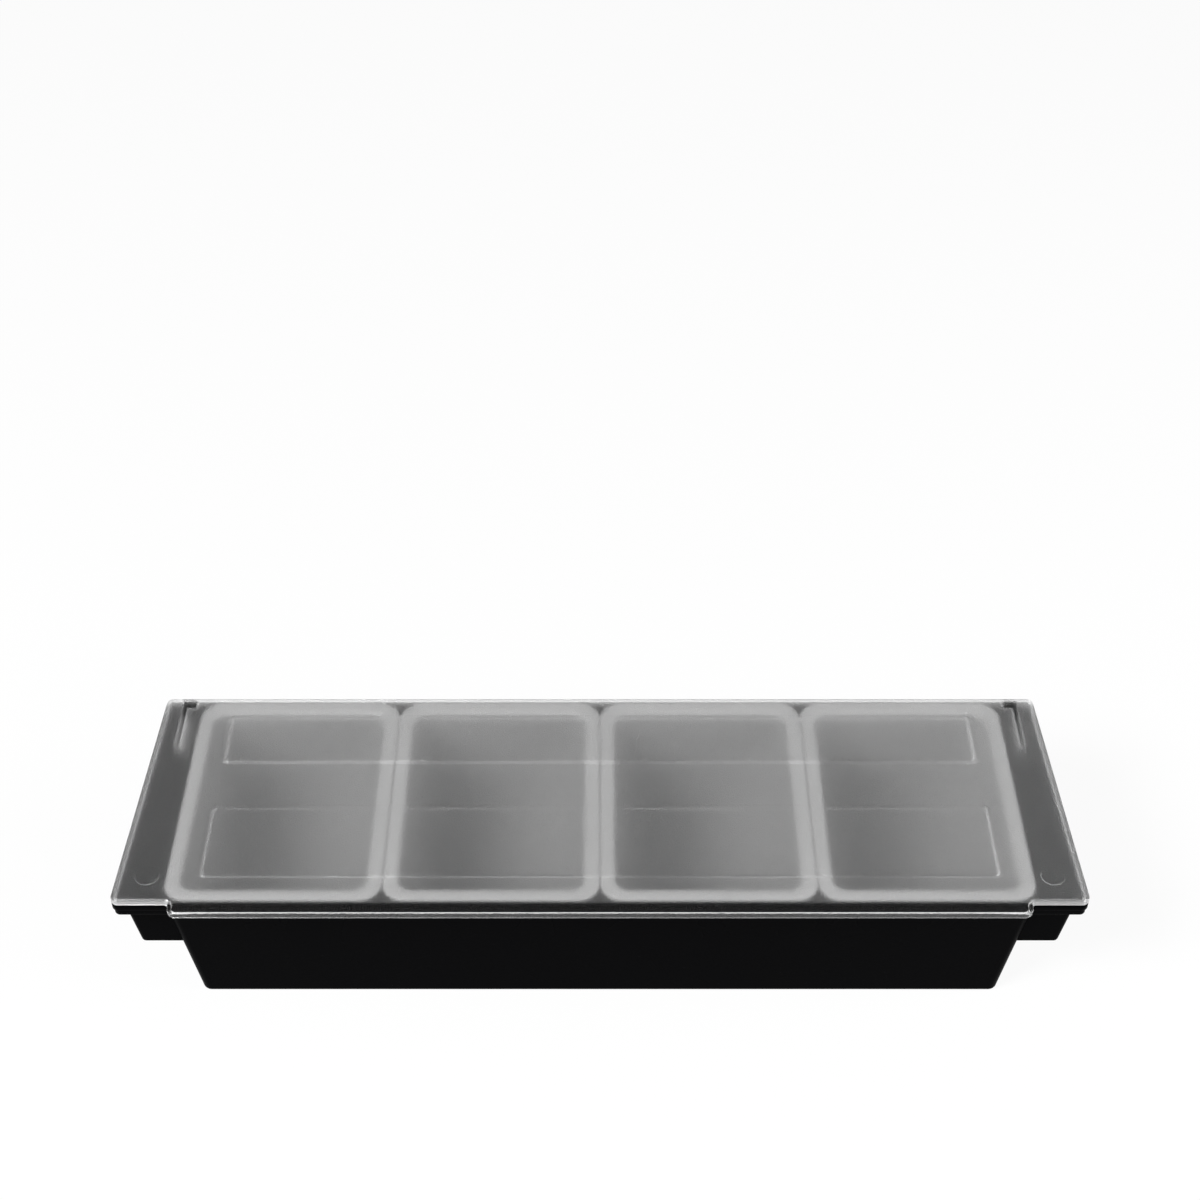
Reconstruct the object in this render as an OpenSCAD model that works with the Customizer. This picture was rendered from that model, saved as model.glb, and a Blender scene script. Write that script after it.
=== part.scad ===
// Bar condiment caddy: a black tub that hangs four inserts in its well, under one hinged lid.
// X runs along the caddy, Y from the front lip to the hinges, Z up from the table.
// Heights of the lid and the hinges are given from the rim, because the rim is where all pieces meet.

/* [Inserts] */
// Width of an insert over its flange, along the caddy
insert_w = 111.6; // [96:0.2:124]
// Depth of an insert over its flange, front to rear
insert_d = 145.2; // [124:0.2:160]
// Height of an insert below its flange
insert_h = 64; // [52:1:68]
// Wall of an insert
insert_wall = 1.6; // [1.2:0.1:2.4]
// Lean of the insert's walls, in degrees
insert_draft = 7.5; // [7:0.5:9]
// Width of the flange that hangs on the rim
flange_w = 6.6; // [5.8:0.1:7.4]
// Thickness of the flange
flange_t = 1.6; // [1.2:0.1:2.2]
// Thickness of the flange at its outer edge
flange_edge_t = 0.8; // [0.6:0.1:1]
// Width of the slope from the flange's outer edge to its flat top
flange_slope_w = 4; // [3:0.5:4.5]
// Round of the flange's corners in plan
flange_r = 11; // [9:0.5:13]
// Round between an insert's walls and its floor
insert_foot_r = 9; // [6:0.5:11]
// Width of the soft edge round the insert's mouth
mouth_round = 1.8; // [1:0.1:2.4]
// Gap between two neighbouring flanges
insert_gap = 0.5; // [0.3:0.1:1]

/* [Tray] */
// Height of the rim above the table
tray_h = 88; // [84:1:100]
// Wall of the tray
wall = 2.5; // [2:0.1:3.2]
// Lean of the tray's walls, in degrees
draft = 6.5; // [5:0.5:7]
// Room between an insert's body and the front and rear walls
body_gap = 1; // [0.8:0.1:2]
// Room between the row of insert bodies and the ends of the well
well_end_gap = 5.9; // [4.5:0.1:6]
// Round of the well's upright corners
well_r = 5; // [4:0.5:8]
// Outer round between the well's walls and its floor
foot_r = 3; // [2:0.5:5]
// Reach of the rim past the row of inserts, at the front corners
end_reach = 26; // [25:0.5:32]
// How much shorter each end of the rim is at the rear
end_slant = 5.5; // [0:0.5:6]
// Round of the rim's corners
rim_r = 4; // [3:0.5:5]
// Round of the rim's top edge
rim_edge_r = 1; // [0.4:0.1:1.2]
// Thickness of the rim's top
rim_t = 2.5; // [2:0.1:3]
// Height of the rim's outer band
rim_h = 8; // [7:0.5:9]
// Wall of the rim's outer band
band_t = 2.2; // [1.8:0.1:2.4]
// Height of the upper step of the band
step_h = 4; // [3.5:0.5:5]
// How far the lower step of the band lies behind the upper one
step_in = 0.8; // [0.4:0.1:1]

/* [End bays] */
// Depth of the bays below the rim
bay_depth = 43; // [30:1:50]
// How far the rim stands out past a bay's end wall
bay_over = 2.6; // [2.6:0.1:3.6]
// How far a bay's front and rear walls lie inside those of the well
bay_setback = 2; // [1:0.1:3]
// Round of the bays' upright corners
bay_r = 3; // [2.5:0.5:6]
// Outer round between the bays' walls and their floors
bay_foot_r = 2; // [1.5:0.5:4]

/* [Lid] */
// Thickness of the lid
lid_t = 1.8; // [1.6:0.1:2.4]
// Wall of the skirt round the lid
skirt_t = 2; // [1.6:0.1:2.2]
// Gap between the skirt and the rim it rests on
rest_gap = 0.2; // [0.1:0.05:0.4]
// Gap between the inserts' flanges and the lid
lid_gap = 0.4; // [0.35:0.05:0.8]
// Gap between the inserts' flanges and the skirt's inner face, front and rear
flange_gap = 0.4; // [0.3:0.1:1]
// Round of the lid's top edge
lid_edge_r = 1.2; // [0.6:0.1:1.2]
// How far the front lip stands out past the rim
lip_out = 8.5; // [8:0.5:14]
// Length of the front lip
lip_len = 440; // [360:2:440]
// Round of the lip's corners
lip_r = 5; // [3:0.5:5]
// Distance of both raised panels from the middle to their ends
panel_half = 209; // [150:1:214]
// Front edge of the front panel, behind the front of the rim
front_panel_at = 15.5; // [10:0.5:20]
// Front to rear size of the front panel
front_panel_d = 51.5; // [40:0.5:56]
// Rise of the front panel
front_panel_rise = 0.8; // [0.4:0.1:1.2]
// Front edge of the rear panel, behind the front of the rim
rear_panel_at = 98; // [88:0.5:100]
// Front to rear size of the rear panel
rear_panel_d = 38; // [24:0.5:40]
// Rise of the rear panel
rear_panel_rise = 1.3; // [0.4:0.1:1.6]
// Round of the panels' corners
panel_r = 4.5; // [3:0.5:7]
// Radius of the round pad near each front corner
pad_r = 6.2; // [4:0.2:7]
// Rise of the round pads
pad_rise = 0.3; // [0.2:0.1:0.6]
// Distance of each pad from the end of the rim and from its front edge
pad_inset = 16.8; // [12:0.2:18]

/* [Hinges] */
// How far the lid opens, in degrees
open_angle = 105; // [95:1:110]
// Distance of the hinge axis from the rear edge of the rim
axis_back = 3.4; // [3.3:0.05:3.5]
// Distance of the hinge axis below the rim
axis_drop = 6.5; // [6:0.1:7.5]
// Radius of the hinge pin
pin_r = 1.3; // [1:0.05:1.5]
// Radius of the lid's knuckle
knuckle_r = 3.3; // [2.8:0.1:3.3]
// Width of the lid's knuckle
knuckle_w = 8; // [6:0.2:9]
// Room on each side of the knuckle
knuckle_side = 0.5; // [0.3:0.1:0.8]
// Running clearance of the knuckle round its pin
pin_play = 0.06; // [0.04:0.01:0.09]
// Clearance of the pin in its bracket
pin_seat = 0.02; // [0.01:0.01:0.04]
// Thickness of the bracket's cheeks, along the pin
cheek_w = 4.4; // [3.8:0.1:4.6]
// Solid left at the blind end of the pin's hole
blind_end = 1.4; // [1:0.1:1.6]
// Room at each end of the pin
pin_end_gap = 0.25; // [0.1:0.05:0.4]
// Thickness of the shelf that stops the open lid
shelf_t = 2; // [1.5:0.1:3]
// Clearance between the open lid and its stop
stop_gap = 0.25; // [0.15:0.05:0.5]
// Clearance between the turning skirt and the corner of the rim
swing_gap = 0.15; // [0.1:0.05:0.4]
// Thickness of the lid's ear
ear_t = 3; // [2:0.1:4]
// Reach of the ear in front of the hinge axis
ear_reach = 33; // [20:0.5:45]
// How far the ear's lower edge rises from the knuckle to its front
ear_rise = 4; // [1:0.5:6]
// Round of the ear's lower corner
ear_r = 3; // [1:0.5:4]

/* [Hidden] */

insert_count = 4;
row_half = (insert_count * insert_w + (insert_count - 1) * insert_gap) / 2;
body_half_y = insert_d / 2 - flange_w;

well_half_x = row_half - flange_w + well_end_gap;
well_half_y = body_half_y + body_gap;
rim_half_y = insert_d / 2 + flange_gap + skirt_t;
rim_front_half = row_half + end_reach;
rim_rear_half = rim_front_half - end_slant;
bay_front_half = rim_front_half - bay_over - wall;
bay_rear_half = rim_rear_half - bay_over - wall;
bay_half_y = well_half_y - bay_setback;
bay_floor = tray_h - bay_depth;

lid_under = flange_t + lid_gap;
lid_top = lid_under + lid_t;
notch_w = knuckle_w + 2 * knuckle_side;
bracket_w = notch_w + 2 * cheek_w;
hinge_x = rim_rear_half - rim_r - bracket_w / 2;
axis_y = rim_half_y - axis_back;
axis_z = tray_h - axis_drop;
// The knuckle's back turns with the lid and meets the rear edge of the shelf when the lid is open
stop_drop = axis_back * (1 - cos(open_angle)) / sin(open_angle) + stop_gap;
shelf_z = axis_z - stop_drop;
// The skirt is cut back over the hinges, so that the turning lid clears the corner of the rim
corner_swing = sqrt(pow(axis_back, 2) + pow(axis_drop, 2));
skirt_lift = corner_swing - axis_drop + rest_gap + swing_gap;
relief_reach = 2 * axis_back + knuckle_r;

rise_angle = 45;
foot_steps = 5;
arc_steps = 8;
least_r = 1;
lap = 0.4;
over = 1;
$fn = 64;

// Moves a piece drawn round the middle of the tray, so that the origin is under the middle of the whole
module placed() {
    translate([0, lip_out / 2, 0])
        children();
}

function unit(v) = v / norm(v);
function left_of(v) = [-v[1], v[0]];

// Outline through corners [x, y, radius], listed against the clock and drawn inset by the same all round.
// The arc of a corner keeps its centre whatever the inset is, and only its radius changes.
function ring(corners, inset = 0) = [
    for (i = [0:len(corners) - 1])
        let (
            here = [corners[i][0], corners[i][1]],
            last = corners[(i + len(corners) - 1) % len(corners)],
            next = corners[(i + 1) % len(corners)],
            along = unit(here - [last[0], last[1]]),
            onward = unit([next[0], next[1]] - here),
            normal = left_of(along),
            turn = atan2(cross(along, onward), along * onward),
            centre = here + corners[i][2] * (normal + left_of(onward)) / (1 + along * onward)
        )
        for (k = [0:arc_steps])
            let (a = atan2(normal[1], normal[0]) + turn * k / arc_steps)
                centre - (corners[i][2] - inset) * [cos(a), sin(a)]
];

// Corners of a four-sided plan by its half lengths at the front and the rear, its half depth and its radius
function four(front_half, rear_half, half_y, r) = [
    [front_half, -half_y, r],
    [rear_half, half_y, r],
    [-rear_half, half_y, r],
    [-front_half, -half_y, r]
];

// Solid through levels [height, outline], from the lowest to the highest
module loft(levels) {
    n = len(levels[0][1]);
    top = len(levels) - 1;
    polyhedron(
        points = [for (level = levels) for (p = level[1]) [p[0], p[1], level[0]]],
        faces = concat(
            [[for (k = [0:n - 1]) k]],
            [[for (k = [n - 1:-1:0]) top * n + k]],
            [
                for (j = [0:top - 1])
                    for (k = [0:n - 1])
                        [j * n + k, (j + 1) * n + k, (j + 1) * n + (k + 1) % n, j * n + (k + 1) % n]
            ]
        )
    );
}

// Slab over an outline, with a rounded top edge
module rounded_slab(corners, low, high, edge) {
    loft(concat(
        [[low, ring(corners)]],
        [
            for (i = [0:foot_steps])
                let (a = 90 * i / foot_steps)
                    [high - edge * (1 - sin(a)), ring(corners, edge * (1 - cos(a)))]
        ]
    ));
}

// Tub whose walls lean in from the rim down to a floor with a round edge
module tub(front_half, rear_half, half_y, top, floor_z, lean, corner, foot) {
    foot_top = floor_z + foot;
    function level(z, tuck) =
        let (
            inset = (tray_h - z) * tan(lean) + tuck,
            r = max(corner - tuck, least_r)
        )
        [z - tuck_drop(tuck, foot), ring(four(front_half, rear_half, half_y, r + inset), inset)];
    function tuck_drop(tuck, foot) = sqrt(max(foot * foot - pow(foot - tuck, 2), 0));
    loft(concat(
        [for (i = [foot_steps:-1:0]) level(foot_top, foot * (1 - cos(90 * i / foot_steps)))],
        [level(top, 0)]
    ));
}

rim_corners = four(rim_front_half, rim_rear_half, rim_half_y, rim_r);

module rim_plan(inset) {
    polygon(ring(rim_corners, inset));
}

// Draws what it is given at both hinges
module both_hinges() {
    for (side = [-1, 1])
        translate([side * hinge_x, 0, 0])
            children();
}

// Profile drawn in Y and Z, extruded along X about the middle of its width
module along_x(width) {
    translate([-width / 2, 0, 0])
        rotate([90, 0, 90])
            linear_extrude(width)
                children();
}

// Rim: a flat top and a two-step band, hollow underneath
module rim() {
    difference() {
        union() {
            rounded_slab(rim_corners, tray_h - step_h, tray_h, rim_edge_r);
            translate([0, 0, tray_h - rim_h])
                linear_extrude(rim_h - step_h + lap)
                    rim_plan(step_in);
        }
        translate([0, 0, tray_h - rim_h - over])
            linear_extrude(rim_h - rim_t + over)
                rim_plan(band_t);
    }
}

// Bracket under the rim: two cheeks that hold the pin and a shelf that stops the open lid
module hinge_brackets() {
    low = shelf_z - shelf_t;
    high = tray_h - rim_t / 2;
    front = bay_half_y - wall;
    back = rim_half_y - shelf_t;
    both_hinges()
        along_x(bracket_w) {
            translate([front, low])
                square([back - front, high - low]);
            translate([front, shelf_z])
                square([rim_half_y - front, high - shelf_z]);
            translate([back, shelf_z])
                circle(shelf_t);
        }
}

// What is cut out of each bracket: the notch for the knuckle and the blind hole for the pin
module hinge_cuts() {
    both_hinges()
        translate([-notch_w / 2, 0, shelf_z])
            cube([notch_w, rim_half_y + over, tray_h]);
    for (side = [-1, 1])
        translate([side * (hinge_x + bracket_w / 2 - blind_end), axis_y, axis_z])
            rotate([0, -90 * side, 0])
                cylinder(r = pin_r + pin_seat, h = bracket_w);
}

// Black moulded tub with its rim, its two shallow bays and its hinge brackets
module tray() {
    color("#161618")
        placed()
            difference() {
                union() {
                    tub(well_half_x + wall, well_half_x + wall, well_half_y + wall,
                        tray_h - rim_t / 2, 0, draft, well_r, foot_r);
                    tub(bay_front_half + wall, bay_rear_half + wall, bay_half_y + wall,
                        tray_h - rim_t / 2, bay_floor, draft, bay_r, bay_foot_r);
                    rim();
                    hinge_brackets();
                }
                tub(well_half_x, well_half_x, well_half_y,
                    tray_h + over, wall, draft, well_r - wall, max(foot_r - wall, least_r));
                tub(bay_front_half, bay_rear_half, bay_half_y,
                    tray_h + over, bay_floor + wall, draft, bay_r - wall, max(bay_foot_r - wall, least_r));
                hinge_cuts();
            }
}

// Steel pin pushed in from the middle of the caddy, one for each side
module hinge_pin(side) {
    outer_end = hinge_x + bracket_w / 2 - blind_end - pin_end_gap;
    color("#b9bbbd")
        placed()
            translate([side * outer_end, axis_y, axis_z])
                rotate([0, -90 * side, 0])
                    cylinder(r = pin_r, h = bracket_w - blind_end - 2 * pin_end_gap);
}

// Slab of the lid with its lip in front
module lid_slab() {
    low = tray_h + rest_gap;
    high = tray_h + lid_top;
    lip_d = lip_out + 4 * lip_r;
    rounded_slab(rim_corners, low, high, lid_edge_r);
    translate([0, lip_d / 2 - lip_out - rim_half_y, 0])
        rounded_slab(four(lip_len / 2, lip_len / 2, lip_d / 2, lip_r), low, high, lid_edge_r);
}

// Hollow inside the skirt, also under the lip
module skirt_hollow() {
    front = -rim_half_y - lip_out;
    corners = concat(rim_corners, [
        [-lip_len / 2, -rim_half_y, 0],
        [-lip_len / 2, front, lip_r],
        [lip_len / 2, front, lip_r],
        [lip_len / 2, -rim_half_y, 0]
    ]);
    translate([0, 0, tray_h - over])
        linear_extrude(lid_under + over)
            polygon(ring(corners, skirt_t));
}

// Raised panel with sloping sides, by its front edge and its depth
module panel(at, depth, rise) {
    corners = four(panel_half, panel_half, depth / 2, panel_r);
    translate([0, -rim_half_y + at + depth / 2, tray_h + lid_top])
        loft([
            [-lap, ring(corners)],
            [0, ring(corners)],
            [rise, ring(corners, rise / tan(rise_angle))]
        ]);
}

// Hollow under a raised panel, which keeps the wall of the lid even
module panel_hollow(at, depth, rise) {
    translate([0, -rim_half_y + at + depth / 2, tray_h + lid_under - lap])
        linear_extrude(rise + lap)
            polygon(ring(four(panel_half, panel_half, depth / 2, panel_r), lid_t));
}

// Round pad near each front corner
module pads() {
    for (side = [-1, 1])
        translate([side * (rim_front_half - pad_inset), pad_inset - rim_half_y, tray_h + lid_top - lap])
            cylinder(r = pad_r, h = pad_rise + lap);
}

// Tapered ear that hangs from the lid, at the outer end of the knuckle that turns on the pin
module hinge_ear(side) {
    ear_top = tray_h + lid_under + lap;
    ear_bottom = axis_z - knuckle_r;
    ear_front = axis_y - ear_reach;
    translate([side * (knuckle_w - ear_t) / 2, 0, 0])
        along_x(ear_t)
            polygon(ring([
                [ear_front, ear_bottom + ear_rise, ear_r],
                [axis_y, ear_bottom, 0],
                [axis_y, ear_top, 0],
                [ear_front, ear_top, 0]
            ]));
    along_x(knuckle_w) {
        translate([axis_y, axis_z])
            circle(knuckle_r);
        translate([axis_y - knuckle_r, axis_z])
            square([knuckle_r + axis_back, ear_top - axis_z]);
    }
}

// Frosted lid with its lip, raised panels, front pads and hinge ears
module lid() {
    color("#c3c8ca", 0.55)
        placed()
            difference() {
                union() {
                    difference() {
                        lid_slab();
                        skirt_hollow();
                        translate([-rim_front_half, rim_half_y - relief_reach, tray_h])
                            cube([2 * rim_front_half, relief_reach + over, skirt_lift]);
                    }
                    panel(front_panel_at, front_panel_d, front_panel_rise);
                    panel(rear_panel_at, rear_panel_d, rear_panel_rise);
                    pads();
                    for (side = [-1, 1])
                        translate([side * hinge_x, 0, 0])
                            hinge_ear(side);
                }
                panel_hollow(front_panel_at, front_panel_d, front_panel_rise);
                panel_hollow(rear_panel_at, rear_panel_d, rear_panel_rise);
                both_hinges()
                    translate([-knuckle_w, axis_y, axis_z])
                        rotate([0, 90, 0])
                            cylinder(r = pin_r + pin_play, h = 2 * knuckle_w);
            }
}

// Insert by its place in the row: a drafted tub that hangs by its flange
module insert(place) {
    half_x = insert_w / 2;
    half_y = insert_d / 2;
    flange = four(half_x, half_x, half_y, flange_r);
    body_x = half_x - flange_w;
    floor_z = tray_h - insert_h;
    corner = flange_r - flange_w / 2;
    top = tray_h + flange_t;
    mouth_x = body_x - insert_wall;
    mouth_y = body_half_y - insert_wall;
    mouth = four(mouth_x, mouth_x, mouth_y, corner);
    color("#e6e7e4", 0.8)
        placed()
            translate([(place - (insert_count + 1) / 2) * (insert_w + insert_gap), 0, 0])
                difference() {
                    union() {
                        loft([
                            [tray_h, ring(flange)],
                            [tray_h + flange_edge_t, ring(flange)],
                            [top, ring(flange, flange_slope_w)]
                        ]);
                        tub(body_x, body_x, body_half_y, tray_h + flange_t / 2, floor_z,
                            insert_draft, corner + insert_wall, insert_foot_r);
                    }
                    tub(mouth_x, mouth_x, mouth_y, top + over, floor_z + insert_wall,
                        insert_draft, corner, insert_foot_r - insert_wall);
                    loft([
                        [top - mouth_round, ring(mouth)],
                        [top, ring(mouth, -mouth_round)],
                        [top + over, ring(mouth, -mouth_round)]
                    ]);
                }
}

module insert_left() insert(1);
module insert_centre_left() insert(2);
module insert_centre_right() insert(3);
module insert_right() insert(4);
module hinge_pin_left() hinge_pin(-1);
module hinge_pin_right() hinge_pin(1);

tray();
lid();
insert_left();
insert_centre_left();
insert_centre_right();
insert_right();
hinge_pin_left();
hinge_pin_right();
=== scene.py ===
"""Bar condiment caddy: a black moulded tray, four white inserts and one frosted lid on two pins.

Sizes are in millimetres where they are written and become metres when a mesh is made. X runs along
the caddy, Y from the front lip to the hinges and Z up. Places are worked out round the middle of the
tray, which lies 4.25 mm behind the origin, because the lid's lip reaches 8.5 mm past the rim in front.
"""

import math

import bmesh
import bpy
import numpy as np
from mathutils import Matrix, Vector


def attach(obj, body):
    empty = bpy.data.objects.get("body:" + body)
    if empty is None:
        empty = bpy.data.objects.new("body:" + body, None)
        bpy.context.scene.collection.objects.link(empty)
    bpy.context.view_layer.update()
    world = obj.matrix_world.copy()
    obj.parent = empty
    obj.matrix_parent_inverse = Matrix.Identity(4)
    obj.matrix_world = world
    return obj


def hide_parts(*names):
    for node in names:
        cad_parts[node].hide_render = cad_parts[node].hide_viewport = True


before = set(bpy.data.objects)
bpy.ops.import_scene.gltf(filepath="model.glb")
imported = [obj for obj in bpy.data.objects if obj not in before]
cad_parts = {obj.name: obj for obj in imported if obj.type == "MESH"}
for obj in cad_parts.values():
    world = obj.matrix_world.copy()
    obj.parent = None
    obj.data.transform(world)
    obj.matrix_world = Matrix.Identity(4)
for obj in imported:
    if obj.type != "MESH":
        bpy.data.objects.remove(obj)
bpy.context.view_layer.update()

# The tray is one injection moulding in black ABS: a deep well in the middle, a shallow bay at each end
# and a two-step rim all round. Two notched brackets under the rear of the rim hold the hinge pins.

# Top of the rim, its half depth, its half lengths at the front and at the rear, and its corners' radius
RIM_Z = 88.0
RIM_Y = 75.0
RIM_FRONT = 249.95
RIM_REAR = 244.45
RIM_ROUND = 4.0
# Distance of the tray's middle behind the origin
TRAY_AHEAD = 4.25
RIM_CORNERS = [
    (RIM_FRONT, -RIM_Y, RIM_ROUND),
    (RIM_REAR, RIM_Y, RIM_ROUND),
    (-RIM_REAR, RIM_Y, RIM_ROUND),
    (-RIM_FRONT, -RIM_Y, RIM_ROUND),
]


def linear(hex_colour):
    """Linear red, green and blue with alpha 1 from an sRGB hex colour, by the sRGB curve."""
    part = np.array([int(hex_colour[i : i + 2], 16) for i in (1, 3, 5)]) / 255
    return (*np.where(part <= 0.04045, part / 12.92, ((part + 0.055) / 1.055) ** 2.4), 1.0)


def add(tree, kind, settings=None, links=None):
    """Adds a shader node, sets its properties or sockets by name, and links other sockets to it."""
    node = tree.nodes.new(kind)
    for name, value in (settings or {}).items():
        if isinstance(name, str) and hasattr(node, name):
            setattr(node, name, value)
        else:
            node.inputs[name].default_value = value
    for name, source in (links or {}).items():
        tree.links.new(source, node.inputs[name])
    return node


def new_material(name):
    """An empty node material with its output, as (material, node tree, output)."""
    material = bpy.data.materials.new(name)
    material.use_nodes = True
    tree = material.node_tree
    tree.nodes.clear()
    return material, tree, tree.nodes.new("ShaderNodeOutputMaterial")


def plan(corners, inset=0.0, steps=12):
    """Closed outline through corners (x, y, radius), listed against the clock, moved in by inset.

    Each corner is an arc whose centre lies its radius away from both sides. With u and v the inward
    normals of those sides, the centre is corner + radius (u + v) / (1 + u . v). The arc's own radius is
    less by the inset.
    """
    corners = np.array(corners, float)
    here, radius = corners[:, :2], corners[:, 2:]
    along = here - np.roll(here, 1, 0)
    along /= np.linalg.norm(along, axis=1, keepdims=True)
    onward = np.roll(along, -1, 0)
    inward = np.stack([-along[:, 1], along[:, 0]], 1)
    next_inward = np.roll(inward, -1, 0)
    dot = (along * onward).sum(1)
    turn = np.arctan2(along[:, 0] * onward[:, 1] - along[:, 1] * onward[:, 0], dot)
    centre = here + radius * (inward + next_inward) / (1 + dot[:, None])
    start = np.arctan2(inward[:, 1], inward[:, 0])
    angle = start[:, None] + turn[:, None] * np.linspace(0, 1, steps + 1)
    spoke = np.stack([np.cos(angle), np.sin(angle)], 2)
    return (centre[:, None] - (radius[:, None] - inset) * spoke).reshape(-1, 2)


def at_height(outline, z):
    """The outline's points lifted to z, which is one height or one for each point."""
    return np.column_stack([outline, np.broadcast_to(z, len(outline))])


def solid(name, skins, islands=False):
    """Mesh object from skins, each an array of closed rings of as many points.

    Rings next to each other are joined by quads, and the first and the last ring are closed by a face.
    With islands, all rings left open at one height are closed together instead, so that a plate keeps
    the holes where its raised forms stand.
    """
    points, faces, start = [], [], 0
    for rings in skins:
        rings = np.array(rings)
        count, around = rings.shape[:2]
        low = np.arange(count - 1)[:, None] * around + np.arange(around) + start
        turned = np.arange(count - 1)[:, None] * around + (np.arange(around) + 1) % around + start
        faces += np.stack([low, turned, turned + around, low + around], 2).reshape(-1, 4).tolist()
        if not islands:
            faces += [low[0].tolist(), (low[-1] + around).tolist()]
        points.append(rings.reshape(-1, 3))
        start += count * around
    points = (np.concatenate(points) + (0, TRAY_AHEAD, 0)) / 1000
    mesh = bpy.data.meshes.new(name)
    mesh.from_pydata(points.tolist(), [], faces)
    build = bmesh.new()
    build.from_mesh(mesh)
    bmesh.ops.remove_doubles(build, verts=build.verts, dist=1e-7)
    bmesh.ops.dissolve_degenerate(build, dist=1e-7, edges=build.edges)
    open_edges = [e for e in build.edges if e.is_boundary]
    for height in sorted({round(e.verts[0].co.z, 6) for e in open_edges}):
        level = [e for e in open_edges if all(abs(v.co.z - height) < 1e-6 for v in e.verts)]
        bmesh.ops.triangle_fill(build, use_beauty=True, edges=level, normal=(0, 0, 1))
    bmesh.ops.recalc_face_normals(build, faces=build.faces)
    build.to_mesh(mesh)
    build.free()
    piece = bpy.data.objects.new(name, mesh)
    bpy.context.scene.collection.objects.link(piece)
    return piece


def sideways(outline, x):
    """The outline's points as Y and Z at one x."""
    return np.column_stack([np.full(len(outline), x), outline])


def plate_on_edge(name, middle_x, thick, corners, edge=0.3):
    """Plate that stands on edge: an outline in Y and Z carried along X, with its edges eased.

    At each end the outline starts moved inwards by edge, and it is full that far along.
    """
    sides = [(-0.5, edge), (edge / thick - 0.5, 0), (0.5 - edge / thick, 0), (0.5, edge)]
    rings = [sideways(plan(corners, inset), middle_x + along * thick) for along, inset in sides]
    return solid(name, [rings])


def unit_circle(steps=48):
    """Points (cos t, sin t) for t in equal steps of one turn."""
    turn = np.linspace(0, 2 * np.pi, steps + 1)[:-1]
    return np.stack([np.cos(turn), np.sin(turn)], 1)


def rod(name, start_x, end_x, radius):
    """Round bar along X about the hinge axis, with its ends eased by a tenth of its radius."""
    ease = radius / 10 * math.copysign(1, end_x - start_x)
    stations = [(start_x, 0.9), (start_x + ease, 1), (end_x - ease, 1), (end_x, 0.9)]
    axis = (AXIS_Y, AXIS_Z)
    return solid(name, [[sideways(unit_circle() * radius * part + axis, x) for x, part in stations]])


def combine(piece, others, operation):
    """Joins other pieces to one, or cuts them out of it, as solids, and keeps the result as mesh."""
    for other in others:
        step = piece.modifiers.new("solid", "BOOLEAN")
        step.operation = operation
        step.solver = "MANIFOLD"
        step.object = other
    bpy.context.view_layer.update()
    whole = bpy.data.meshes.new_from_object(piece.evaluated_get(bpy.context.evaluated_depsgraph_get()))
    piece.modifiers.clear()
    piece.data = whole
    for other in others:
        bpy.data.objects.remove(other)


def smooth(piece, material, sharp=34):
    """Shades a piece smooth but for edges sharper than the angle, and gives it its material."""
    piece.data.shade_smooth()
    piece.data.set_sharp_from_angle(angle=math.radians(sharp))
    piece.data.materials.clear()
    piece.data.materials.append(material)
    return piece


# ABS moulded against a polished tool, photographed so that it turns almost pure black: a very deep
# base colour and hardly any gloss, with the faint ripples of moulded skin and slightly duller patches
RIPPLE = 4.0
DULL_PATCH = 28.0
black_abs, tree, output = new_material("black_abs_moulded_gloss")
place = add(tree, "ShaderNodeTexCoord")
orange_peel = add(
    tree,
    "ShaderNodeTexNoise",
    {"Scale": 1000 / RIPPLE, "Detail": 2.0},
    {"Vector": place.outputs["Object"]},
)
dent = add(
    tree,
    "ShaderNodeBump",
    {"Strength": 0.05, "Distance": 0.0002},
    {"Height": orange_peel.outputs["Fac"]},
)
haze = add(
    tree,
    "ShaderNodeTexNoise",
    {"Scale": 1000 / DULL_PATCH, "Detail": 3.0},
    {"Vector": place.outputs["Object"]},
)
dull = add(
    tree,
    "ShaderNodeMapRange",
    {"From Min": 0.3, "From Max": 0.7, "To Min": 0.24, "To Max": 0.32},
    {"Value": haze.outputs["Fac"]},
)
abs_shader = add(
    tree,
    "ShaderNodeBsdfPrincipled",
    {"Base Color": linear("#050506"), "IOR": 1.53, "Specular IOR Level": 0.006},
    {"Roughness": dull.outputs["Result"], "Normal": dent.outputs["Normal"]},
)
tree.links.new(abs_shader.outputs["BSDF"], output.inputs["Surface"])

# Walls: their thickness, the least radius inside a corner, and how far they lean out for each mm up
WALL = 2.5
LEAST_ROUND = 1.0
TRAY_LEAN = math.tan(math.radians(6.5))
# Well, inside: half length and half depth at the rim, radius of its corners and of its foot outside
WELL_X = 223.25
WELL_Y = 67.0
WELL_ROUND = 5.0
WELL_FOOT = 3.0
# Bays, inside: half lengths at the front and at the rear, half depth, and the height of their underside
BAY_FRONT = 244.85
BAY_REAR = 239.35
BAY_Y = 65.0
BAY_FLOOR = 45.0
BAY_ROUND = 3.0
BAY_FOOT = 2.0
# Hinges: place of the axis, middle of each bracket, width of its notch and thickness of its cheeks
AXIS_Y = 71.6
AXIS_Z = 81.5
HINGE_X = 231.55
NOTCH = 9.0
CHEEK = 4.4
# Shelf that stops the open lid: its top and its thickness
SHELF_Z = 76.82
SHELF = 2.0
# Pin: solid left at the blind end of its hole, its radius, and the room round it in the bracket
BLIND_END = 1.4
PIN = 1.3
PIN_SEAT = 0.02
# Half thickness of the rim's top, where the walls run into it, and how far a cut reaches past a face
RIM_MIDDLE = 1.25
PAST = 2.0


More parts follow.
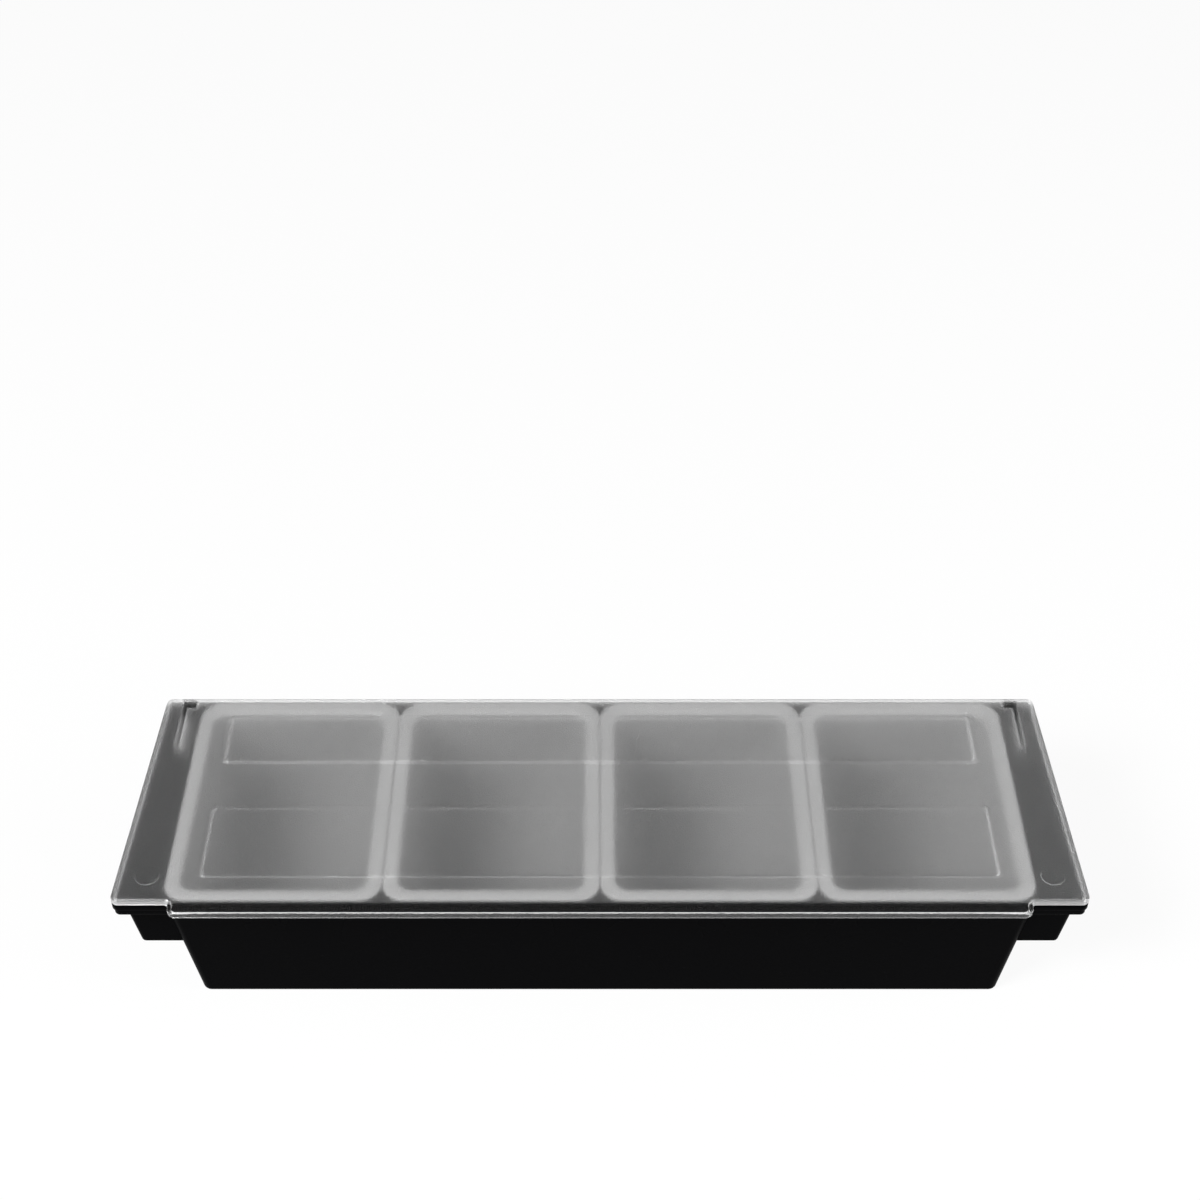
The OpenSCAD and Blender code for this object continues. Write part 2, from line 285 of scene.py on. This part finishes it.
def tub_rings(front_x, rear_x, half_y, radius, floor, foot, top, lean, steps=8):
    """Rings of a drafted tub from its floor to its top.

    A quarter round of the foot's radius starts tangent to the floor. It tucks in by foot (1 - sin a)
    at the height foot (1 - cos a). The wall above it leans out by lean for each mm up, and it has the
    given half lengths and half depth at the height of the rim.
    """

    def ring(tuck, z):
        wall_z = max(z, floor + foot)
        inset = (RIM_Z - wall_z) * lean + tuck
        r = max(radius - tuck, LEAST_ROUND) + inset
        right = [(front_x, -half_y, r), (rear_x, half_y, r)]
        left = [(-rear_x, half_y, r), (-front_x, -half_y, r)]
        return at_height(plan(right + left, inset), z)

    quarter = np.linspace(0, np.pi / 2, steps + 1)
    tucks, heights = foot * (1 - np.sin(quarter)), floor + foot * (1 - np.cos(quarter))
    return [ring(foot + 0.5, floor)] + [ring(t, z) for t, z in zip(tucks, heights)] + [ring(0, top)]


# Section of the rim as (inset, height): the rounded top edge, the upper step, the band below it, and
# up again inside the hollow band to the underside of the top
rim_side = [(1.7, 88), (1, 88), (0.62, 87.92), (0.29, 87.71), (0.08, 87.38), (0, 87)]
rim_side += [(0, 84.3), (0.1, 84.1), (0.3, 84), (0.8, 84), (0.8, 80.5), (0.95, 80.15)]
rim_side += [(1.3, 80), (1.8, 80), (2.1, 80.1), (2.2, 80.4)]
rim_side += [(2.2, 85), (2.35, 85.35), (2.7, 85.5), (3.2, 85.5)]
under_rim = RIM_Z - RIM_MIDDLE
over_rim = RIM_Z + PAST
rim_rings = [at_height(plan(RIM_CORNERS, inset), z) for inset, z in rim_side]
tray = solid("tray_moulding", [rim_rings], islands=True)
well_out = (WELL_X + WALL, WELL_X + WALL, WELL_Y + WALL, WELL_ROUND, 0, WELL_FOOT)
bays_out = (BAY_FRONT + WALL, BAY_REAR + WALL, BAY_Y + WALL, BAY_ROUND, BAY_FLOOR, BAY_FOOT)
well_in = (WELL_X, WELL_X, WELL_Y, WELL_ROUND - WALL, WALL, LEAST_ROUND)
bays_in = (BAY_FRONT, BAY_REAR, BAY_Y, BAY_ROUND - WALL, BAY_FLOOR + WALL, LEAST_ROUND)
shells = [
    solid("well", [tub_rings(*well_out, under_rim, TRAY_LEAN)]),
    solid("bays", [tub_rings(*bays_out, under_rim, TRAY_LEAN)]),
]
hollows = [
    solid("well", [tub_rings(*well_in, over_rim, TRAY_LEAN)]),
    solid("bays", [tub_rings(*bays_in, over_rim, TRAY_LEAN)]),
]
bracket = [
    (BAY_Y - WALL, SHELF_Z - SHELF, 0),
    (RIM_Y, SHELF_Z - SHELF, SHELF),
    (RIM_Y, under_rim, 0),
    (BAY_Y - WALL, under_rim, 0),
]
notch = [(0, SHELF_Z, 0), (RIM_Y + PAST, SHELF_Z, 0), (RIM_Y + PAST, over_rim, 0), (0, over_rim, 0)]
bracket_width = NOTCH + 2 * CHEEK
outer_end = HINGE_X + bracket_width / 2 - BLIND_END
inner_end = outer_end - bracket_width
for side in (-1, 1):
    shells.append(plate_on_edge("bracket", side * HINGE_X, bracket_width, bracket))
    hollows.append(plate_on_edge("notch", side * HINGE_X, NOTCH, notch, edge=0.001))
    hollows.append(rod("pin_hole", side * outer_end, side * inner_end, PIN + PIN_SEAT))
combine(tray, shells, "UNION")
combine(tray, hollows, "DIFFERENCE")
smooth(tray, black_abs)
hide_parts("tray")
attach(tray, "tray")

# The inserts are four like tubs in natural white polypropylene, injection moulded with thin drafted
# walls. Each hangs by its flange on the front and the rear of the tray's rim and lifts straight out.

# Distance from one to the next, half length and half depth over the flange
INSERT_STEP = 112.1
INSERT_X = 55.8
INSERT_Y = 72.6
# Flange: its width, its thickness inside and at the edge, width of its sloping edge, corners' radius
FLANGE = 6.6
FLANGE_T = 1.6
FLANGE_EDGE = 0.8
FLANGE_SLOPE = 4.0
FLANGE_ROUND = 11.0
# Tub: its wall, how far it leans out for each mm up, height of its underside, radius of its foot
INSERT_WALL = 1.6
INSERT_LEAN = math.tan(math.radians(7.5))
INSERT_FLOOR = RIM_Z - 64
INSERT_FOOT = 9.0
# Round from the flange into the mouth: how far it runs outwards and how far it drops
MOUTH_RUN = 4.0
MOUTH_DROP = 3.0
# Radius of the mouth's corners
CORNER = FLANGE_ROUND - FLANGE / 2


def box_plan(half_x, half_y, radius, inset=0.0):
    """Rectangle with round corners, moved inwards by inset, whose corners keep their radius."""
    r = radius + inset
    right = [(half_x, -half_y, r), (half_x, half_y, r)]
    left = [(-half_x, half_y, r), (-half_x, -half_y, r)]
    return plan(right + left, inset)


# Polypropylene without pigment, moulded against a fine matt tool: milky white with soft highlights and
# faint clouds where the melt flowed. Its walls glow with light from behind, and the flange glows less.
# The tool's grain is under 0.1 mm and would not show, so it is drawn at 1.1 mm.
TOOL_GRAIN = 1.1
FLOW_CLOUD = 70.0
natural_pp, tree, output = new_material("natural_polypropylene_moulded")
place = add(tree, "ShaderNodeTexCoord")
grain = add(
    tree,
    "ShaderNodeTexNoise",
    {"Scale": 1000 / TOOL_GRAIN, "Detail": 2.0},
    {"Vector": place.outputs["Object"]},
)
dent = add(
    tree,
    "ShaderNodeBump",
    {"Strength": 0.08, "Distance": 0.0002},
    {"Height": grain.outputs["Fac"]},
)
flow = add(
    tree,
    "ShaderNodeTexNoise",
    {"Scale": 1000 / FLOW_CLOUD, "Detail": 2.0},
    {"Vector": place.outputs["Object"]},
)
tone = add(
    tree,
    "ShaderNodeMix",
    {"data_type": "RGBA", 6: linear("#dcdcdc"), 7: linear("#e4e4e4")},
    {0: flow.outputs["Fac"]},
)
pp_shader = add(
    tree,
    "ShaderNodeBsdfPrincipled",
    {"Roughness": 0.38, "IOR": 1.49},
    {"Base Color": tone.outputs[2], "Normal": dent.outputs["Normal"]},
)
through = add(
    tree,
    "ShaderNodeBsdfTranslucent",
    {},
    {"Color": tone.outputs[2], "Normal": dent.outputs["Normal"]},
)
height = add(tree, "ShaderNodeSeparateXYZ", {}, {"Vector": place.outputs["Object"]})
wall_to_flange = {"From Min": 0.086, "From Max": 0.0895, "To Min": 0.5, "To Max": 0.1}
thin = add(
    tree,
    "ShaderNodeMapRange",
    {"interpolation_type": "SMOOTHSTEP", **wall_to_flange},
    {"Value": height.outputs["Z"]},
)
milky = add(
    tree,
    "ShaderNodeMixShader",
    {},
    {0: thin.outputs["Result"], 1: pp_shader.outputs["BSDF"], 2: through.outputs["BSDF"]},
)
tree.links.new(milky.outputs["Shader"], output.inputs["Surface"])

# The rings of one insert run from the middle of its floor up the inside, over the mouth and the
# flange, and down the outside to the underside
flange_top = RIM_Z + FLANGE_T
body_x, body_y = INSERT_X - FLANGE, INSERT_Y - FLANGE
body_corner = CORNER + INSERT_WALL
mouth_x, mouth_y = body_x - INSERT_WALL, body_y - INSERT_WALL
inside = tub_rings(
    mouth_x,
    mouth_x,
    mouth_y,
    CORNER,
    INSERT_FLOOR + INSERT_WALL,
    INSERT_FOOT - INSERT_WALL,
    flange_top - MOUTH_DROP,
    INSERT_LEAN,
)
# The mouth is a quarter of an ellipse, (run (1 - cos a), drop sin a), that starts on the leaning wall
mouth_turn = np.linspace(0, np.pi / 2, 9)
lean_in = (RIM_Z - flange_top + MOUTH_DROP) * INSERT_LEAN
mouth_out = (MOUTH_RUN + lean_in) * (1 - np.cos(mouth_turn)) - lean_in
mouth_up = flange_top - MOUTH_DROP * (1 - np.sin(mouth_turn))
mouth = [
    at_height(box_plan(mouth_x, mouth_y, CORNER + out, -out), z) for out, z in zip(mouth_out, mouth_up)
]
# The flange's edge falls as the square of the way out
crown = np.linspace(0, 1, 7)
flange_side = [(FLANGE_SLOPE * (1 - c), flange_top - (FLANGE_T - FLANGE_EDGE) * c**2) for c in crown]
flange_side += [(0, RIM_Z + 0.3), (0.3, RIM_Z), (0.6, RIM_Z)]
flange_side += [(FLANGE - 1.6, RIM_Z), (FLANGE - 1.0, RIM_Z)]
flange = [at_height(box_plan(INSERT_X, INSERT_Y, FLANGE_ROUND - i, i), z) for i, z in flange_side]
# Hollow round where the wall leaves the flange, as (way out, way down)
neck_side = [(0.3, 0.3), (0.0, 1.0), (0.0, 1.6)]
neck = [
    at_height(box_plan(body_x, body_y, body_corner, drop * INSERT_LEAN - out), RIM_Z - drop)
    for out, drop in neck_side
]
outside = tub_rings(
    body_x, body_x, body_y, body_corner, INSERT_FLOOR, INSERT_FOOT, RIM_Z - 2, INSERT_LEAN
)[::-1]
insert_rings = np.array(inside[:-1] + mouth + flange + neck + outside)
insert_names = ("insert_left", "insert_centre_left", "insert_centre_right", "insert_right")
for count, name in enumerate(insert_names):
    tub = solid(name + "_tub", [insert_rings + ((count - 1.5) * INSERT_STEP, 0, 0)])
    smooth(tub, natural_pp)
    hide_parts(name)
    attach(tub, "tray")

# The hinge pins are two pieces of drawn stainless wire, 2.6 mm thick, pushed into the brackets from the
# middle of the caddy.

# Room at each end of a pin
PIN_END = 0.25
# Stainless steel drawn through a die: fine lines along the wire, which spread its highlight across it.
# Real lines are some hundredths of a millimetre wide, and they are drawn at 0.4 mm to show.
LINE_LENGTH = 25.0
LINE_WIDTH = 0.4
drawn_steel, tree, output = new_material("drawn_stainless_wire")
place = add(tree, "ShaderNodeTexCoord")
lines = add(
    tree,
    "ShaderNodeMapping",
    {"Scale": (1000 / LINE_LENGTH, 1000 / LINE_WIDTH, 1000 / LINE_WIDTH)},
    {"Vector": place.outputs["Object"]},
)
scratches = add(
    tree,
    "ShaderNodeTexNoise",
    {"Scale": 1.0, "Detail": 3.0},
    {"Vector": lines.outputs["Vector"]},
)
worn = add(
    tree,
    "ShaderNodeMapRange",
    {"From Min": 0.3, "From Max": 0.7, "To Min": 0.2, "To Max": 0.38},
    {"Value": scratches.outputs["Fac"]},
)
steel_shader = add(
    tree,
    "ShaderNodeBsdfPrincipled",
    {"Base Color": linear("#c6c8ca"), "Metallic": 1.0},
    {"Roughness": worn.outputs["Result"]},
)
tree.links.new(steel_shader.outputs["BSDF"], output.inputs["Surface"])
pin_start = outer_end - PIN_END
pin_end = pin_start - (bracket_width - BLIND_END - 2 * PIN_END)
for side, name in ((-1, "hinge_pin_left"), (1, "hinge_pin_right")):
    wire = smooth(rod(name + "_wire", side * pin_start, side * pin_end, PIN), drawn_steel)
    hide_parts(name)
    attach(wire, "tray")

# The lid is one injection moulding in clear polycarbonate, frosted on both faces: a plate with a short
# skirt, a lip in front to lift it by, two raised panels and two round pads. At each hinge an ear hangs
# from it into the bay and carries the knuckle that turns on the pin.

# Heights of the skirt's foot, of the plate's underside and of its top
LID_LOW = RIM_Z + 0.2
LID_UNDER = RIM_Z + 2.0
LID_TOP = RIM_Z + 3.8
# Width of the skirt and radius of the top edge
SKIRT = 2.0
EDGE = 1.2
# Lip: half length, reach past the rim, radius of its corners and of the hollows beside it
LIP_X = 220.0
LIP_OUT = 8.5
LIP_ROUND = 5.0
LIP_HOLLOW = 2.5
# The skirt is cut back behind this line, by this height, over this slope, so that the lid can swing
RELIEF_Y = 64.9
RELIEF = 1.185
RAMP = 0.5
# Raised panels as (middle, depth, rise), their half length, corners' radius and wall
PANELS = [(41.75, 38, 1.3), (-33.75, 51.5, 0.8)]
PANEL_X = 209
PANEL_ROUND = 4.5
PANEL_WALL = 1.8
# Round pads near the front corners
PAD_X = 233.15
PAD_Y = -58.2
PAD_ROUND = 6.2
PAD_RISE = 0.3
# Hinge ears: thickness, offset from the bracket's middle, reach to the front, corner radius, and how
# far above the axis the front end of the ear stops
EAR = 3
EAR_OFFSET = 2.5
EAR_REACH = 33
EAR_ROUND = 3
EAR_RISE = 0.7
EAR_TOP = LID_UNDER + 0.4
# Knuckles: width, radius in front and back of the axis, and the room for the pin
KNUCKLE = 8
KNUCKLE_ROUND = 3.3
KNUCKLE_BACK = 3.4
PIN_PLAY = 0.06


def end_x(y):
    """Half length of the rim at y, as its ends run straight from the front corner to the rear one."""
    return RIM_FRONT - (RIM_FRONT - RIM_REAR) * (y + RIM_Y) / (2 * RIM_Y)


half_lid = [
    (LIP_X, -RIM_Y - LIP_OUT, LIP_ROUND),
    (LIP_X, -RIM_Y, -LIP_HOLLOW),
    (RIM_FRONT, -RIM_Y, RIM_ROUND),
    (end_x(RELIEF_Y - RAMP), RELIEF_Y - RAMP, 0),
    (end_x(RELIEF_Y), RELIEF_Y, 0),
    (RIM_REAR, RIM_Y, RIM_ROUND),
]
lid_corners = half_lid + [(-x, y, r) for x, y, r in half_lid[::-1]]


def lid_ring(inset, z, over_relief=0.0):
    """Ring of the lid's outline at z, which rises by over_relief where the skirt is cut back."""
    outline = plan(lid_corners, inset)
    rise = over_relief * np.clip((outline[:, 1] - (RELIEF_Y - RAMP)) / RAMP, 0, 1)
    return at_height(outline, z + rise)


# From the plate's top over the quarter round of its edge, down the skirt and up again inside it
skirt_rings = [lid_ring(EDGE + 0.5, LID_TOP)]
skirt_rings += [
    lid_ring(EDGE * (1 - math.sin(turn)), LID_TOP - EDGE * (1 - math.cos(turn)))
    for turn in np.linspace(0, np.pi / 2, 7)
]
skirt_rings += [
    lid_ring(0, LID_LOW + 0.35, RELIEF),
    lid_ring(0.1, LID_LOW + 0.1, RELIEF),
    lid_ring(0.35, LID_LOW, RELIEF),
    lid_ring(SKIRT - 0.35, LID_LOW, RELIEF),
    lid_ring(SKIRT - 0.1, LID_LOW + 0.1, RELIEF),
    lid_ring(SKIRT, LID_LOW + 0.35, RELIEF),
    lid_ring(SKIRT, LID_UNDER - 0.5),
    lid_ring(SKIRT + 0.15, LID_UNDER - 0.15),
    lid_ring(SKIRT + 0.5, LID_UNDER),
    lid_ring(SKIRT + 1.0, LID_UNDER),
]


def panel_rings(middle_y, depth, rise, base, inset=0.0, steps=8):
    """Rings of a raised panel over its base height, or of the hollow behind it, which has an inset.

    Its side follows a smooth step, 3 s^2 - 2 s^3, over a run as long as its rise. The ends run in
    three times as far, so that they are gentler than the long sides.
    """
    s = np.linspace(0, 1, steps + 1)
    runs = np.concatenate([[-0.5], rise * s, [rise + 0.5]])
    heights = base + rise * np.concatenate([[0], 3 * s**2 - 2 * s**3, [1]])
    front, rear = middle_y - depth / 2, middle_y + depth / 2
    corners = [
        (PANEL_X, front, PANEL_ROUND),
        (PANEL_X, rear, PANEL_ROUND),
        (-PANEL_X, rear, PANEL_ROUND),
        (-PANEL_X, front, PANEL_ROUND),
    ]
    return [
        at_height(plan(corners, inset + run), z) * (1 - 2 * run / PANEL_X, 1, 1)
        for run, z in zip(runs, heights)
    ]


def pad_rings(middle_x):
    """Rings of a round pad with a soft edge, given as (way out, share of the rise)."""
    side = [(0.5, 0), (0, 0), (-0.05, 0.5), (-0.15, 0.85), (-0.35, 1), (-0.9, 1)]
    return [
        at_height(unit_circle() * (PAD_ROUND + out) + (middle_x, PAD_Y), LID_TOP + PAD_RISE * up)
        for out, up in side
    ]


lid_skins = [skirt_rings]
for middle_y, depth, rise in PANELS:
    lid_skins.append(panel_rings(middle_y, depth, rise, LID_TOP))
    lid_skins.append(panel_rings(middle_y, depth, rise, LID_UNDER, PANEL_WALL))
for side in (-1, 1):
    lid_skins.append(pad_rings(side * PAD_X))
lid = solid("lid_plate", lid_skins, islands=True)

knuckle_low = AXIS_Z - KNUCKLE_ROUND
ear = [
    (AXIS_Y - EAR_REACH, AXIS_Z + EAR_RISE, EAR_ROUND),
    (AXIS_Y, knuckle_low, 0),
    (AXIS_Y, EAR_TOP, 0),
    (AXIS_Y - EAR_REACH, EAR_TOP, 0),
]
knuckle = [
    (AXIS_Y - KNUCKLE_ROUND, knuckle_low, KNUCKLE_ROUND - 0.05),
    (AXIS_Y + KNUCKLE_BACK, knuckle_low, KNUCKLE_ROUND),
    (AXIS_Y + KNUCKLE_BACK, EAR_TOP, 0),
    (AXIS_Y - KNUCKLE_ROUND, EAR_TOP, 0),
]
added = []
for side in (-1, 1):
    added.append(plate_on_edge("ear", side * (HINGE_X + EAR_OFFSET), EAR, ear))
    added.append(plate_on_edge("knuckle", side * HINGE_X, KNUCKLE, knuckle))
combine(lid, added, "UNION")
bores = [
    rod("bore", side * HINGE_X - KNUCKLE, side * HINGE_X + KNUCKLE, PIN + PIN_PLAY) for side in (-1, 1)
]
combine(lid, bores, "DIFFERENCE")

# Polycarbonate moulded against a spark-eroded tool: clear inside, but a fine frost on its faces blurs
# what lies under it and lifts dark places to grey. The lip is polished in front of the rim, and black
# shows through it. A real frost of about 0.05 mm would not show, so its grain is drawn at 0.67 mm.
FROST_GRAIN = 0.67


def polycarbonate(name, roughness, dents, specks, cover=(0.5, 0.7), polished_lip=False):
    """Clear polycarbonate with a frost of the given roughness, fine dents and white specks.

    The specks scatter light both ways. They take up to the given share of the surface, growing where
    the frost's noise passes from the first to the second value of cover. Light that falls through the
    lid on other pieces passes as through a clear sheet, so that what lies under it is lit.
    """
    material, tree, output = new_material(name)
    place = add(tree, "ShaderNodeTexCoord")
    where = add(tree, "ShaderNodeSeparateXYZ", {}, {"Vector": place.outputs["Object"]})
    rim_front = (TRAY_AHEAD - RIM_Y) / 1000

    def on_plate(value, on_lip):
        """The value on the plate, which fades to the one on the lip over 2.5 mm in front of the rim."""
        fade = {
            "interpolation_type": "SMOOTHSTEP",
            "From Min": rim_front - 0.0025,
            "From Max": rim_front,
            "To Min": on_lip if polished_lip else value,
            "To Max": value,
        }
        return add(tree, "ShaderNodeMapRange", fade, {"Value": where.outputs["Y"]}).outputs["Result"]

    frost = add(
        tree,
        "ShaderNodeTexNoise",
        {"Scale": 1000 / FROST_GRAIN, "Detail": 2.0},
        {"Vector": place.outputs["Object"]},
    )
    bump = add(
        tree,
        "ShaderNodeBump",
        {"Distance": 0.0009},
        {"Height": frost.outputs["Fac"], "Strength": on_plate(dents, 0.1)},
    )
    shader = add(
        tree,
        "ShaderNodeBsdfPrincipled",
        {"Base Color": linear("#f4f4f4"), "IOR": 1.49, "Transmission Weight": 1.0},
        {"Roughness": on_plate(roughness, 0.12), "Normal": bump.outputs["Normal"]},
    )
    off = add(tree, "ShaderNodeBsdfDiffuse", {"Color": linear("#fafafa")})
    past = add(tree, "ShaderNodeBsdfTranslucent", {"Color": linear("#fafafa")})
    speck = add(
        tree,
        "ShaderNodeMixShader",
        {0: 0.5},
        {1: off.outputs["BSDF"], 2: past.outputs["BSDF"]},
    )
    share = add(
        tree,
        "ShaderNodeMapRange",
        {"From Min": cover[0], "From Max": cover[1], "To Min": 0.0},
        {"Value": frost.outputs["Fac"], "To Max": on_plate(specks, 0.0)},
    )
    face = add(
        tree,
        "ShaderNodeMixShader",
        {},
        {0: share.outputs["Result"], 1: shader.outputs["BSDF"], 2: speck.outputs["Shader"]},
    )
    clear = add(tree, "ShaderNodeBsdfTransparent", {"Color": linear("#e7e7e7")})
    path = add(tree, "ShaderNodeLightPath")
    lit = add(
        tree,
        "ShaderNodeMath",
        {"operation": "MAXIMUM"},
        {0: path.outputs["Is Shadow Ray"], 1: path.outputs["Is Diffuse Ray"]},
    )
    surface = add(
        tree,
        "ShaderNodeMixShader",
        {},
        {0: lit.outputs["Value"], 1: face.outputs["Shader"], 2: clear.outputs["BSDF"]},
    )
    tree.links.new(surface.outputs["Shader"], output.inputs["Surface"])
    return material


frosts = [
    polycarbonate(
        "clear_polycarbonate_frosted_top", roughness=0.55, dents=0.5, specks=0.1, polished_lip=True
    ),
    polycarbonate(
        "clear_polycarbonate_satin_underside", roughness=0.3, dents=0.05, specks=0.0, polished_lip=True
    ),
    polycarbonate(
        "clear_polycarbonate_frosted_edge",
        roughness=0.5,
        dents=0.3,
        specks=0.6,
        cover=(0.2, 0.6),
        polished_lip=True,
    ),
    polycarbonate(
        "clear_polycarbonate_frosted_knuckle", roughness=1.0, dents=0.3, specks=0.3, cover=(0.2, 0.6)
    ),
]
TOP, UNDERSIDE, SIDE, HINGE = range(4)
smooth(lid, frosts[TOP])
for frosted in frosts[1:]:
    lid.data.materials.append(frosted)
# Faces that look down are the underside, steep ones are sides, and all below the skirt is hinge
normals, centres = np.empty((2, len(lid.data.polygons) * 3))
lid.data.polygons.foreach_get("normal", normals)
lid.data.polygons.foreach_get("center", centres)
up, height = normals[2::3], centres[2::3]
face_kind = np.where(up < -0.3, UNDERSIDE, np.where(up < 0.5, SIDE, TOP))
face_kind[height < (LID_LOW - 1.5) / 1000] = HINGE
lid.data.polygons.foreach_set("material_index", face_kind.astype(np.int32))
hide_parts("lid")
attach(lid, "lid")

# The photograph is a product picture on plain white. A white floor with low white walls stands in for
# the sheet. One large soft lamp lights the caddy from the front left, a weaker low one from the right.

# Reach of the floor each way and height of its walls, in metres
FLOOR_REACH = 12
WALL_HEIGHT = 3.8
# White paper: the camera, the metal and the lid see it plain white, and all other light falls on it as
# on paper. A small share of the lit paper stays in view, so that the caddy's shadow shows on it.
PAPER_WHITE = 0.92
white_floor, tree, output = new_material("white_floor")
path = add(tree, "ShaderNodeLightPath")
direct = add(
    tree,
    "ShaderNodeMath",
    {"operation": "MAXIMUM"},
    {0: path.outputs["Is Camera Ray"], 1: path.outputs["Is Glossy Ray"]},
)
seen = add(
    tree,
    "ShaderNodeMath",
    {"operation": "MAXIMUM"},
    {0: direct.outputs["Value"], 1: path.outputs["Is Transmission Ray"]},
)
share = add(
    tree,
    "ShaderNodeMath",
    {"operation": "MULTIPLY", 1: PAPER_WHITE},
    {0: seen.outputs["Value"]},
)
paper = add(tree, "ShaderNodeBsdfDiffuse", {"Color": linear("#f4f4f4")})
glow = add(tree, "ShaderNodeEmission", {"Color": linear("#ffffff"), "Strength": 1.0})
ground = add(
    tree,
    "ShaderNodeMixShader",
    {},
    {0: share.outputs["Value"], 1: paper.outputs["BSDF"], 2: glow.outputs["Emission"]},
)
tree.links.new(ground.outputs["Shader"], output.inputs["Surface"])
square = np.array([(-1, -1), (1, -1), (1, 1), (-1, 1)]) * FLOOR_REACH
corners = np.concatenate([at_height(square, 0), at_height(square, WALL_HEIGHT)])
walls = [(n, n + 4, (n + 1) % 4 + 4, (n + 1) % 4) for n in range(4)]
floor_mesh = bpy.data.meshes.new("floor")
floor_mesh.from_pydata(corners.tolist(), [], [(0, 1, 2, 3)] + walls)
floor = bpy.data.objects.new("floor", floor_mesh)
floor_mesh.materials.append(white_floor)
bpy.context.scene.collection.objects.link(floor)

# The room above the walls is dim, which keeps the frost of the lid dark over the bays
world = bpy.data.worlds.new("studio")
bpy.context.scene.world = world
world.use_nodes = True
tree = world.node_tree
tree.nodes.clear()
dim = add(tree, "ShaderNodeBackground", {"Color": linear("#ffffff"), "Strength": 0.12})
add(tree, "ShaderNodeOutputWorld", {}, {"Surface": dim.outputs["Background"]})


def soft_lamp(name, place, watts, width=0.9, aim=(0, 0, 0.05)):
    """Square soft box of the given width in metres, at a place and turned to its aim."""
    lamp = bpy.data.lights.new(name, "AREA")
    lamp.size = width
    lamp.energy = watts
    holder = bpy.data.objects.new(name, lamp)
    bpy.context.scene.collection.objects.link(holder)
    holder.location = place
    way = Vector(aim) - holder.location
    holder.rotation_euler = way.to_track_quat("-Z", "Y").to_euler()


soft_lamp("key", (-1.5, -1.2, 1.9), 80)
soft_lamp("fill", (1.6, -0.3, 0.7), 22)

# The camera looks down at 40.5 degrees, as fitted to the corners of the rim, the lip and the base
camera_data = bpy.data.cameras.new("camera")
camera_data.sensor_width = 36
camera_data.lens = 59.68
camera = bpy.data.objects.new("camera", camera_data)
camera.location = (0.0, -0.7404, 0.865)
camera.rotation_euler = (math.radians(90 - 40.5), 0, 0)
bpy.context.scene.collection.objects.link(camera)
bpy.context.scene.camera = camera
bpy.context.scene.view_settings.view_transform = "Standard"
